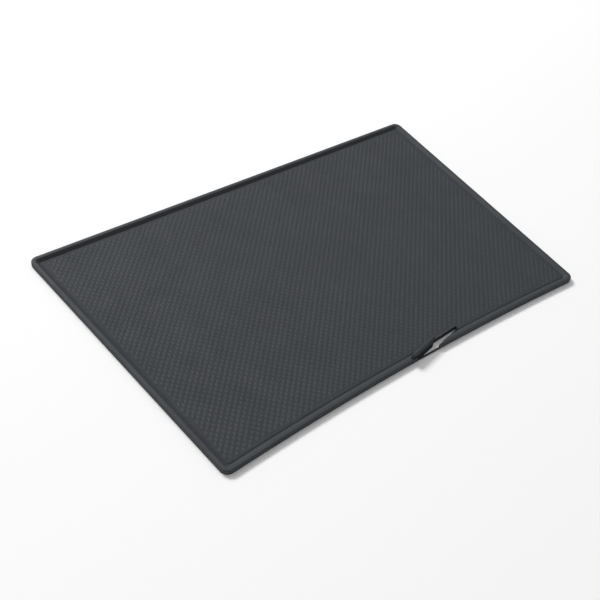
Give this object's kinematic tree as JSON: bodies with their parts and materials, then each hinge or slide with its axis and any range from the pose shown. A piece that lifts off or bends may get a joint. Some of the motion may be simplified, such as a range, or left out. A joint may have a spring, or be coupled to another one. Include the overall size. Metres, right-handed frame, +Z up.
{
  "type": "console mat",
  "caption": "Moulded rubber mat for a centre console tray: a shallow trapezoid with a raised rounded rim, a fine diamond grip pattern and a slanting lift slot with a small upright tab in the front margin.",
  "frame": {"origin": "middle of the mat's plan, on the flat underside", "axes": "+Z up out of the tray side, +X along the longer back edge to the right as seen from the front, +Y from the hollow front edge to the back edge"},
  "size_m": [0.2594, 0.1627, 0.0048],
  "materials": {
    "mat_rubber": "satin moulded rubber, dark grey, fine embossed grip pattern inside a smooth rim"
  },
  "bodies": {
    "root": {"console_mat": "mat_rubber"}
  },
  "joints": []
}
